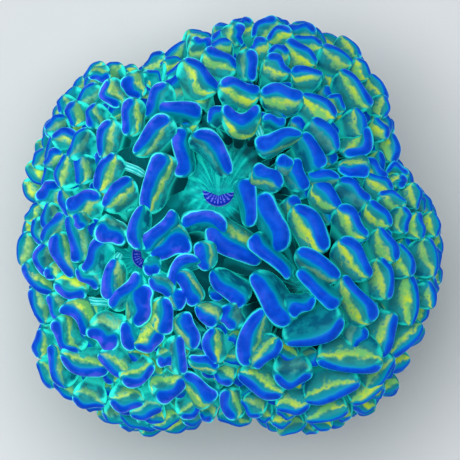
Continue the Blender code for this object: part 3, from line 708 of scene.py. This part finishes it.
# One box with a few cuts is bent to each tentacle, and then rounded
cage_shape = bmesh.new()
bmesh.ops.create_cube(cage_shape, size=2)
for normal, cuts in (((1, 0, 0), (-0.5, 0, 0.5)), ((0, 1, 0), (0,)),
                     ((0, 0, 1), [1 - 2 * cut / STOREYS for cut in range(1, STOREYS)])):
    for cut in cuts:
        bmesh.ops.bisect_plane(cage_shape, plane_co=Vector(normal) * cut, plane_no=normal,
                               geom=cage_shape.verts[:] + cage_shape.edges[:] + cage_shape.faces[:])
cage = bpy.data.meshes.new("tentacle_cage")
cage_shape.to_mesh(cage)
cage_shape.free()
cage_points = np.array([tuple(vert.co) for vert in cage.vertices])


def tentacle_rings(tip):
    """From the tip down: depth, half length, and half thickness on the outer and inner side.

    The first two rings are the cap, the next two the belly, and the last two the stalk.
    """
    half, width = tip["length"] / 2, tip["width"]
    belly, bulge = 0.9 + 0.95 * half, tip["bulge"] * width
    rings = (
        (0.00, 1.06 * half - 0.46 * width, 0.34 * width, 0.34 * width),
        (0.38 * width, 1.08 * half, 0.57 * width, 0.57 * width),
        (0.30 * width + 0.42 * belly, 1.06 * half, 0.50 * width, 0.55 * width + 0.7 * bulge),
        (0.30 * width + 0.84 * belly, 0.80 * half, 0.44 * width, 0.48 * width + bulge),
        (0.30 * width + 1.24 * belly, 0.36 * half + 0.3, 0.36 * width, 0.36 * width),
    )
    base, bend, end = stalk_curve(tip)
    length = np.linalg.norm(bend - base) + np.linalg.norm(end - bend)
    shrink = min(1, 0.8 * length / rings[-1][0])
    rings = [(depth * shrink, *sizes) for depth, *sizes in rings]
    return np.array(rings + [(length, ROOT_RADIUS, ROOT_RADIUS, ROOT_RADIUS)]), length


def tentacle_points(tip):
    """The cage's points bent to one tentacle, and where each lies on its skin.

    The skin's values are distances over it: along the hammer, inwards, and down from the tip.
    """
    rings, length = tentacle_rings(tip)
    base, bend, end = stalk_curve(tip)
    along = hammer_axes(tip)[0]
    steps = np.diff(rings, axis=0)
    skin_out, skin_in, skin_end = (
        rings[0][side] + np.concatenate([[0], np.cumsum(np.hypot(steps[:, 0], steps[:, side]))])
        for side in (2, 3, 1))
    points, skin = [], []
    for a, b, storey in cage_points:
        ring = round((1 - storey) * STOREYS / 2)
        depth, long, outer, inner = rings[ring]
        share = 1 - depth / length
        bent = 1 - (ring / STOREYS) ** 2
        wide = inner if b > 0 else outer
        if ring < STOREYS:
            wide *= 1 + tip["knob"] * (1.3 * a * a - 0.4) + tip["heavy"] * a
        # corners are drawn in, and the cuts beside the middle go out towards them
        corner = abs(a) == 1 and b != 0
        a_place, b_place = (0.92 * a, 0.78 * b) if corner else (a, b)
        if abs(a) == 0.5:
            a_place = a * 2 * max(0.45, 1 - 0.62 * tip["width"] / long)
        dome = 0.0
        if ring == 0:
            dome = -0.22 * tip["width"] * a * a + (0.16 * tip["width"] if b == 0 else 0.0)
        point = (1 - share) ** 2 * base + 2 * share * (1 - share) * bend + share**2 * end
        run = (1 - share) * (bend - base) + share * (end - bend)
        run = run / np.linalg.norm(run)
        side = along - run * (along @ run)
        side = side / np.linalg.norm(side)
        inwards = b_place * wide + bent * (
            tip["curl"] * (a * a - 0.3) + tip["sway"] * 2.6 * a * (1 - a * a))
        points.append(point + side * a_place * long + np.cross(run, side) * inwards + run * dome)
        across = skin_in[ring] if b > 0 else -skin_out[ring]
        if abs(a) == 1:
            skin.append((np.sign(a) * skin_end[ring] * (0.92 if corner else 1),
                         across * 0.78 * abs(b), depth))
        else:
            skin.append((a_place * rings[1][1], across * abs(b), depth))
    return points, skin


def carry(made, name, values):
    """Gives an attribute to an object's mesh: one number or three for each of its points."""
    values = np.array(values, dtype=np.float32)
    kind, field = ("FLOAT", "value") if values.ndim == 1 else ("FLOAT_VECTOR", "vector")
    made.data.attributes.new(name, kind, "POINT").data.foreach_set(field, values.ravel())


def add_tentacles(name, group, levels):
    """One piece of flesh that holds a group of tentacles."""
    flesh = bmesh.new()
    places, skin, build = [], [], []
    for tip in group:
        flesh.from_mesh(cage)
        points, on_skin = tentacle_points(tip)
        places += points
        skin += on_skin
        build += [(tip["length"] / 2, tip["width"], tip["own"])] * len(points)
    flesh.verts.ensure_lookup_table()
    for vert, place in zip(flesh.verts, places):
        vert.co = Vector(place) * MM
    made = shape_to_object(name, flesh, tentacle_flesh)
    carry(made, "skin", skin)
    carry(made, "build", build)
    # how near each point is to the hammer's ends and outer corners, where the painted rim highlight
    # falls
    ends = np.abs(cage_points[:, 0]) * (0.4 + 0.6 * np.abs(cage_points[:, 1]))
    carry(made, "ends", np.tile(ends, len(group)))
    rounded = made.modifiers.new("rounded", "SUBSURF")
    rounded.levels = rounded.render_levels = levels
    return made


for tip in tips:
    tip.update(knob=shaping.uniform(-0.1, 0.4), heavy=shaping.uniform(-0.38, 0.38),
               sway=shaping.uniform(-0.5, 0.5), bulge=shaping.uniform(0.15, 0.45),
               own=shaping.uniform(0, 1))
    if "gold" in tip:
        tip["own"] = 0.7 * tip["gold"] + 0.3 * tip["own"]
for name in POLYPS:
    for part, high, levels in (("crown", True, 2), ("skirt", False, 1)):
        group = [tip for tip in tips if tip["polyp"] == name
                 and (tip["place"][2] > FINE_LEVEL and "young" not in tip) == high]
        for start in range(0, len(group), MOST_IN_A_PIECE):
            piece = "%s_%s_%d" % (part, name, start // MOST_IN_A_PIECE + 1)
            tentacles = add_tentacles(piece, group[start:start + MOST_IN_A_PIECE], levels)
            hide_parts("polyp_" + name)
            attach(tentacles, "root")


# ---- The polyps' bodies -------------------------------------------------------------------
# A polyp's body is a fleshy dome over its stony cup, and its top is the oral disc, whose skin is
# drawn up in fine folds that run to the mouth. Round the mouth it has a painted glow, and elsewhere
# it is painted dark, as painted shade for the shadow among the tentacles.

def disc_colour(add):
    """Turquoise round the mouth, lighter along the folds, and painted dark towards the rim as
    painted shade.
    """
    fold = add("Attribute", attribute_name="fold")["Fac"]
    away = add("Attribute", attribute_name="away")["Fac"]
    broad, fine = mottle(add, 2.2, 3), mottle(add, 0.7, 3)
    left, _ = in_the_colony(add)
    colour = add("blend", add("fade", fine, -0.15, 0.15), linear("#048A92"), linear("#06ACA8"))
    colour = add("blend", add("fade", fold, 0.1, 0.9), colour, linear("#18D2C4"))
    # painted shade towards the disc's rim, lighter along the folds
    painted_shade = add("blend", left, linear("#033840"), linear("#055E66"))
    painted_shade = add("blend", add("fade", fold, 0.0, 1.0), painted_shade, linear("#068488"))
    away = add("MULTIPLY_ADD", broad, 6.0, away)
    return add("blend", add("fade", away, 3.8, 6.4), colour, painted_shade)


# the disc's colour is also given out as a painted glow, stronger than the tentacles', so it stays
# bright among their shadows
disc_flesh = make_flesh("disc_flesh", disc_colour, 0.4)

# Each open mouth's x and y, and the side of it, in degrees, that is lit: the disc's painted shade
# begins farther out there
MOUTHS = {"rear": (-1.6, 3.7), "front_left": (-11.5, -3.9)}
BRIGHT_SIDES = {"rear": 95, "front_left": 205}
FOLDS = 22
FOLD_HEIGHT = 0.8
# The stony cup's level, and the body's girth at its widest and at the cup, against its radius
CUP_TOP = 19.0
BODY_SPREAD = 1.16
LIP_SHARE = 0.71
for name, polyp in POLYPS.items():
    body = bmesh.new()
    bmesh.ops.create_uvsphere(body, u_segments=8 * FOLDS, v_segments=40, radius=1)
    centre = Vector(MOUTHS.get(name, polyp["body"])) - Vector(polyp["body"])
    folds, distances = [], []
    for vert in body.verts:
        x, y, z = vert.co
        flat, turn = math.hypot(x, y), math.atan2(y, x)
        waver = noise.noise(Vector((2.6 * x, 2.6 * y, polyp["radius"])))
        girth = flat * BODY_SPREAD
        height = BODY_HEIGHT + z * BODY_RISE
        # below the dome, the wall draws in to the cup, uneven like soft flesh, and closes there
        wall = max(0.0, -z - 0.3) / 0.7
        if wall > 0:
            narrow = 0.5 - 0.5 * math.cos(math.pi * min(1, wall / 0.7))
            girth = (0.954 * BODY_SPREAD) * (1 - narrow) + LIP_SHARE * narrow
            girth *= min(1, (1 - wall) / 0.3)
            height = max(height, CUP_TOP - 1.2) + 0.9 * waver * narrow
        out = Vector((math.cos(turn), math.sin(turn))) * girth * polyp["radius"]
        if z > 0:
            out += centre * (1 - flat) ** 1.5
        # the folds waver, come and go, and are strongest on the bright side and faint on the wall
        from_mouth = out - centre
        rising = math.cos(math.atan2(from_mouth.y, from_mouth.x)
                          - math.radians(BRIGHT_SIDES.get(name, 90)))
        streak = noise.noise(Vector((5 * math.cos(turn), 5 * math.sin(turn), 1.5 * flat)))
        fold = abs(math.sin(FOLDS / 2 * turn + 5 * waver)) ** 3 * (0.55 + 0.3 * rising)
        fold = min(1, max(0, fold * (1 + 1.4 * streak)))
        # one straight fold runs from an open mouth to the rear
        if name in MOUTHS and 0 < from_mouth.y < 4.5 and abs(from_mouth.x) < 0.3:
            fold = 1.0
        if z < 0:
            fold *= 0.3
        fold *= min(1, 4 * flat)
        folds.append(fold)
        # how far from the mouth, for the painted shade: it begins farther out on the lit side, and
        # sooner on a body with no open mouth
        distances.append(from_mouth.length * (1.3 - 0.5 * rising) + 3.5 * (name not in MOUTHS))
        height += FOLD_HEIGHT * fold * max(0, 1 - flat) * (z > 0)
        vert.co = Vector((polyp["body"][0] + out.x, polyp["body"][1] + out.y, height)) * MM
    dome = shape_to_object("body_" + name, body, disc_flesh)
    carry(dome, "fold", folds)
    carry(dome, "away", distances)
    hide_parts("polyp_" + name)
    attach(dome, "root")


# ---- Pleats -------------------------------------------------------------------------------
# Between the tentacles the body wall is drawn up in a few short pleats, whose ridges are painted
# pale mint as a highlight, with painted shade in the grooves and a painted glow. They are the same
# thin flesh, in narrow strips with lengthwise grooves.

def pleat_colour(add):
    """Pale mint on the ridges as a painted highlight, and turquoise in the grooves as painted
    shade.
    """
    groove = add("Attribute", attribute_name="groove")["Fac"]
    groove = add("fade", add("ADD", mottle(add, 0.8), groove), 0.1, 0.9)
    return add("blend", groove, linear("#6CE2E2"), linear("#12A6A8"))


# the pleats' colour is also given out as a painted glow
pleat_flesh = make_flesh("pleat_flesh", pleat_colour, 0.4)

# the polyp, x and y of the middle, the way it runs in degrees, length, width, and its depth
# below the crown's surface
PLEATS = (
    ("rear_left", -12.9, 7.6, -33, 4.6, 1.2, 3.4),
    ("front_left", -14.6, 0.6, -40, 3.4, 1.1, 3.4),
    ("front_left", -14.6, -4.9, 60, 3.6, 1.2, 3.6),
    ("front_left", -16.6, -9.4, -20, 3.0, 1.2, 3.2),
    ("front_right", 15.4, -12.2, 80, 3.2, 0.9, 3.2),
    ("rear", 3.6, 12.0, 95, 4.4, 1.1, 3.6),
)
GROOVES = 7
for polyp in sorted({pleat[0] for pleat in PLEATS}):
    strips = bmesh.new()
    grooved = strips.verts.layers.float.new("groove")
    for x, y, runs, long, wide, depth in (pleat[1:] for pleat in PLEATS if pleat[0] == polyp):
        strip = bmesh.ops.create_uvsphere(strips, u_segments=6 * GROOVES, v_segments=20, radius=1)
        turned = Matrix.Rotation(math.radians(runs), 3, "Z")
        for vert in strip["verts"]:
            across, up, down_it = vert.co
            vert[grooved] = abs(math.cos(GROOVES / 2 * math.atan2(up, across)))
            thick = (1 - 0.25 * vert[grooved]) * max(0, 1 - down_it**4) ** 0.25
            thick /= max(0.2, math.hypot(across, up))
            bend = 0.25 * math.sin(2.2 * down_it)
            vert.co = turned @ Vector((down_it * long / 2, across * thick * wide / 2 + bend,
                                       up * thick * 0.45 - 0.6 * down_it**2))
        bmesh.ops.translate(strips, vec=Vector(crown_over(x, y)) - Vector((0, 0, depth)),
                            verts=strip["verts"])
    bmesh.ops.scale(strips, vec=(MM, MM, MM), verts=strips.verts)
    pleats = shape_to_object("pleats_" + polyp, strips, pleat_flesh)
    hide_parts("polyp_" + polyp)
    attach(pleats, "root")


# ---- Mouths -------------------------------------------------------------------------------
# A polyp's mouth is a slit with swollen blue lips, bent like a smile, whose inner folds show as
# paler ribs. Two of them lie open between the tentacles. They are soft tissue like the disc.

def mouth_colour(add):
    """Deep blue, with paler violet ribs and rim."""
    rib = add("Attribute", attribute_name="rib")["Fac"]
    return add("blend", add("fade", rib, 0.5, 1.0), linear("#0A2CAC"), linear("#7880F4"))


# the mouth's colour is also given out as a painted glow
mouth_flesh = make_flesh("mouth_flesh", mouth_colour, 0.3)

# Which polyp's, half its length, and how far it is turned in degrees
OPEN_MOUTHS = (("rear", 2.0, -3), ("front_left", 1.7, -65))
RIBS_IN_MOUTH = 11
for name, long, turn in OPEN_MOUTHS:
    mouth = bmesh.new()
    bmesh.ops.create_uvsphere(mouth, u_segments=96, v_segments=24, radius=1)
    x, y = MOUTHS[name]
    top = BODY_HEIGHT + BODY_RISE + 0.1
    ribs = []
    for vert in mouth.verts:
        # a ball is flattened and bent to a smile, with a pale rim in front and a fan of ribs
        widest = math.sqrt(max(1 - vert.co.x**2, 0.0001))
        share = (max(-1, min(1, vert.co.y / widest)) + 1) / 2
        notch = 0.6 - 0.45 * max(0, 1 - abs(vert.co.x)) ** 1.3
        down = 0.1 + share * notch + (1 - share) * (0.6 - 1.6 * widest)
        fan = math.atan2(vert.co.x * 1.4, 1.7 - share)
        rib = 0.5 + 0.5 * math.cos(2.8 * RIBS_IN_MOUTH * fan)
        ribs.append(max(rib * min(1, 3 * share), 1.1 - 5 * share, 0) if vert.co.z > 0 else 0)
        height = 0.45 * vert.co.z * (1 + 0.3 * rib)
        vert.co = Vector((vert.co.x * long, down * long * 0.62, height))
    bmesh.ops.rotate(mouth, matrix=Matrix.Rotation(math.radians(turn), 3, "Z"), verts=mouth.verts)
    bmesh.ops.translate(mouth, vec=Vector((x, y, top)), verts=mouth.verts)
    bmesh.ops.scale(mouth, vec=(MM, MM, MM), verts=mouth.verts)
    opening = shape_to_object("mouth_" + name, mouth, mouth_flesh)
    carry(opening, "rib", ribs)
    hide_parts("polyp_" + name)
    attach(opening, "root")


# ---- Skeleton -----------------------------------------------------------------------------
# The coral's stony skeleton, cream aragonite: a stump that forks into four branches, which widen
# to a cup under each polyp. Thin ribs run up the branches, and the foot is sawn off flat.

# Aragonite is matt and chalky, with a fine grain and faint stains, and painted shade darkens its
# grooves so that the ribs show
aragonite = bpy.data.materials.new("aragonite")
aragonite.use_nodes = True
add = functools.partial(add_node, aragonite.node_tree)
place = add("TexCoord")["Object"]
grain = add("TexNoise", place, 1 / (0.5 * MM), 6)["Fac"]
stain = add("TexNoise", place, 1 / (6 * MM), 4)["Fac"]
ridge = add("Attribute", attribute_name="ridge")["Fac"]
colour = add("blend", add("fade", stain, 0.35, 0.65), linear("#F0E8D8"), linear("#DED0B4"))
specks = add("MULTIPLY", add("fade", grain, 0.6, 0.35), 0.35)
colour = add("blend", specks, colour, linear("#B8A684"))
# painted shade in the grooves between the ribs
colour = add("blend", add("fade", ridge, 0.45, -0.15), colour, linear("#A89878"))
strength, distance, filter_width = 0.5, 0.25 * MM, 0.1
bump = add("Bump", strength, distance, filter_width, grain)
shader = aragonite.node_tree.nodes["Principled BSDF"]
shader.inputs["Roughness"].default_value = 0.85
aragonite.node_tree.links.new(colour, shader.inputs["Base Color"])
aragonite.node_tree.links.new(bump, shader.inputs["Normal"])

TRUNK_TOP = 9.0
FORK_HEIGHT = TRUNK_TOP * 0.4
STUMP_RADII = (9.6, 8.6, 7.4)
RINGS = 30
RIBS = 24
RIB_HEIGHT = 0.4
# The branches start below the floor, where the saw cuts them flat
SAWN_OFF = 2.0


def branch_middle(name, height):
    """Where the middle of a branch is at a height: it sets out upright, then leans to its cup."""
    share = max(0.0, (height - FORK_HEIGHT) / (CUP_TOP - FORK_HEIGHT))
    return Vector(POLYPS[name]["body"]) * (0.42 + 0.5 * share**1.3)


def branch_radius(name, height):
    """A branch widens to its cup, and thickens again inside the trunk."""
    share = max(0.0, (height - TRUNK_TOP) / (CUP_TOP - TRUNK_TOP))
    foot = 2.4 * max(0.0, 1 - height / TRUNK_TOP) ** 2
    return POLYPS[name]["radius"] * (0.33 + 0.35 * share**1.1) + foot


stone = bmesh.new()
for name in POLYPS:
    already = len(stone.verts)
    bmesh.ops.create_cone(stone, cap_ends=True, segments=72, radius1=1, radius2=1, depth=2)
    for ring in range(1, RINGS):
        fresh = stone.verts[already:]
        edges = {edge for vert in fresh for edge in vert.link_edges}
        faces = {face for vert in fresh for face in vert.link_faces}
        bmesh.ops.bisect_plane(stone, geom=fresh + list(edges) + list(faces),
                               plane_co=(0, 0, 2 * ring / RINGS - 1), plane_no=(0, 0, 1))
    stone.verts.ensure_lookup_table()
    for vert in stone.verts[already:]:
        height = -SAWN_OFF + (CUP_TOP + SAWN_OFF) * (vert.co.z + 1) / 2
        turn = math.atan2(vert.co.y, vert.co.x)
        lump = noise.noise(Vector((math.cos(turn), math.sin(turn), height / 3)) * 1.6)
        radius = branch_radius(name, height) * (1 + 0.07 * lump)
        middle = branch_middle(name, height)
        vert.co = Vector((middle.x + radius * math.cos(turn), middle.y + radius * math.sin(turn),
                          height)) * MM
stump = bmesh.ops.create_icosphere(stone, subdivisions=4, radius=1)["verts"]
bmesh.ops.scale(stone, vec=Vector(STUMP_RADII) * MM, verts=stump)
skeleton = shape_to_object("skeleton", stone, aragonite)

# The branches and the stump grow together, and a slab takes off all that is below the floor
grown = skeleton.modifiers.new("grown_together", "REMESH")
grown.mode = "VOXEL"
grown.voxel_size = 0.27 * MM
slab_shape = bmesh.new()
bmesh.ops.create_cube(slab_shape, size=1)
bmesh.ops.scale(slab_shape, vec=Vector((80, 80, 30)) * MM, verts=slab_shape.verts)
bmesh.ops.translate(slab_shape, vec=Vector((0, 0, -15)) * MM, verts=slab_shape.verts)
slab = shape_to_object("saw_cut", slab_shape)
sawn = skeleton.modifiers.new("sawn_flat", "BOOLEAN")
sawn.operation = "DIFFERENCE"
sawn.solver = "EXACT"
sawn.object = slab
rough = skeleton.data
skeleton.data = bpy.data.meshes.new_from_object(
    skeleton.evaluated_get(bpy.context.evaluated_depsgraph_get()))
skeleton.modifiers.clear()
bpy.data.objects.remove(slab)
bpy.data.meshes.remove(rough)
skeleton.data.name = "skeleton"
skeleton.data.shade_smooth()

# The ribs stand out from each branch, and fade where two branches have grown together
ridges = []
for vert in skeleton.data.vertices:
    x, y, height = vert.co / MM
    near = sorted((math.hypot(x - branch_middle(name, height).x, y - branch_middle(name, height).y)
                   - branch_radius(name, height), name) for name in POLYPS)
    off = Vector((x, y)) - branch_middle(near[0][1], height)
    clear = min(1, (near[1][0] - near[0][0]) / 1.2) * min(1, max(0, (CUP_TOP - height) / 0.5))
    clear *= min(1, max(0.0, 0.25 + height / 16)) * (0.8 + 0.8 * noise.noise(vert.co / (2.2 * MM)))
    waver = 1.6 * noise.noise(vert.co / (6 * MM))
    rib = (0.5 + 0.5 * math.cos(RIBS * math.atan2(off.y, off.x) + waver)) ** 1.4
    ridges.append(0.5 + (rib - 0.5) * clear)
    vert.co += (off.normalized() * RIB_HEIGHT * MM * (rib - 0.4) * clear).to_3d()
carry(skeleton, "ridge", ridges)
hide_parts("trunk", *["branch_" + name for name in POLYPS])
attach(skeleton, "root")

low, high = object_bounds()
